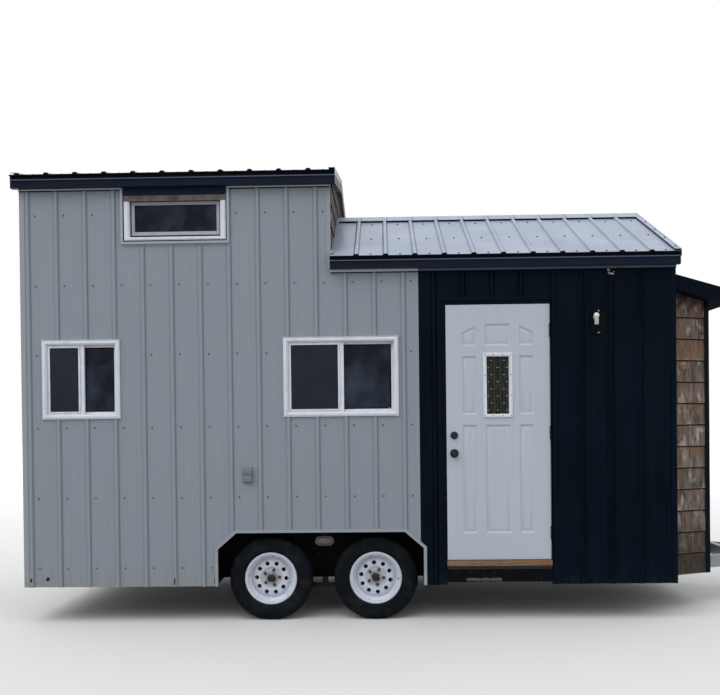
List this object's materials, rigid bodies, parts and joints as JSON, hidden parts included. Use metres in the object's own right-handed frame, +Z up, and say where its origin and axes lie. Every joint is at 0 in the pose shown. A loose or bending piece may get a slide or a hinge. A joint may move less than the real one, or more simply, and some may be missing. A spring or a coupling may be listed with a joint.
{
  "type": "tiny house",
  "caption": "Small house on a tandem-axle trailer, with a tall metal-sided end, a lower gable roof, a door that opens, windows, a shingled nose and a tongue with a coupler.",
  "frame": {"origin": "on the ground, in the middle of the whole footprint with the tongue", "axes": "+X towards the tongue, +Y towards the back wall (the side with no door), +Z up"},
  "size_m": [6.867, 2.6446, 3.7781],
  "materials": {
    "black_steel": "satin black paint with dust",
    "grey_steel": "satin light grey paint",
    "grey_siding": "satin grey paint",
    "black_siding": "satin black paint",
    "cedar": "weathered, matte",
    "timber": "bare",
    "plywood": "bare",
    "roof_metal": "satin light grey paint",
    "vinyl": "satin",
    "glass": "clear",
    "door_paint": "satin pale grey paint",
    "brushed_metal": "brushed, worn",
    "lamp_black": "satin black paint",
    "grey_plastic": "matte",
    "red_lens": "dull with dust",
    "tyre": "dusty",
    "rim_paint": "gloss white paint, a little rust"
  },
  "bodies": {
    "house": {"trailer_frame": "black_steel", "tongue_frame": "grey_steel", "hitch_coupler": "black_steel", "tongue_jack": "grey_steel", "leaf_springs": "black_steel", "axles": "black_steel", "wheel_wells": "black_steel", "floor_deck": "plywood", "loft_floor": "plywood", "front_wall": "timber", "front_wall_over_door": "timber", "front_wall_corner": "timber", "back_wall": "timber", "left_end_wall": "timber", "right_end_wall": "timber", "tall_side_wall": "timber", "nose_walls": "timber", "nose_roof": "black_steel", "grey_siding": "grey_siding", "black_siding": "black_siding", "cedar_shingles": "cedar", "tall_roof_deck": "plywood", "lower_roof_deck": "plywood", "roof_metal": "roof_metal", "roof_trim": "black_steel", "grey_trim": "grey_siding", "black_trim": "black_siding", "window_frames": "vinyl", "window_glass": "glass", "door_frame": "black_steel", "door_sill": "timber", "wall_lamp": "lamp_black", "outlet_box": "grey_plastic", "marker_lamps": "red_lens"},
    "door": {"door_slab": "door_paint", "door_glass": "glass", "door_hardware": "brushed_metal", "door_hinges": "brushed_metal"},
    "wheel_front_left": {"tyre_front_left": "tyre", "rim_front_left": "rim_paint"},
    "wheel_front_right": {"tyre_front_right": "tyre", "rim_front_right": "rim_paint"},
    "wheel_back_left": {"tyre_back_left": "tyre", "rim_back_left": "rim_paint"},
    "wheel_back_right": {"tyre_back_right": "tyre", "rim_back_right": "rim_paint"}
  },
  "joints": [
    {"name": "door_hinge", "type": "hinge", "parent": "house", "child": "door", "pos_m": [0.792, -1.22, 1.48], "axis": [0, 0, 1], "range_deg": [0, 100]},
    {"name": "spin_front_left", "type": "hinge", "parent": "house", "child": "wheel_front_left", "pos_m": [-1.4315, -1.0575, 0.33], "axis": [0, 1, 0], "continuous": true},
    {"name": "spin_front_right", "type": "hinge", "parent": "house", "child": "wheel_front_right", "pos_m": [-0.5935, -1.0575, 0.33], "axis": [0, 1, 0], "continuous": true},
    {"name": "spin_back_left", "type": "hinge", "parent": "house", "child": "wheel_back_left", "pos_m": [-1.4315, 1.0575, 0.33], "axis": [0, 1, 0], "continuous": true},
    {"name": "spin_back_right", "type": "hinge", "parent": "house", "child": "wheel_back_right", "pos_m": [-0.5935, 1.0575, 0.33], "axis": [0, 1, 0], "continuous": true}
  ]
}
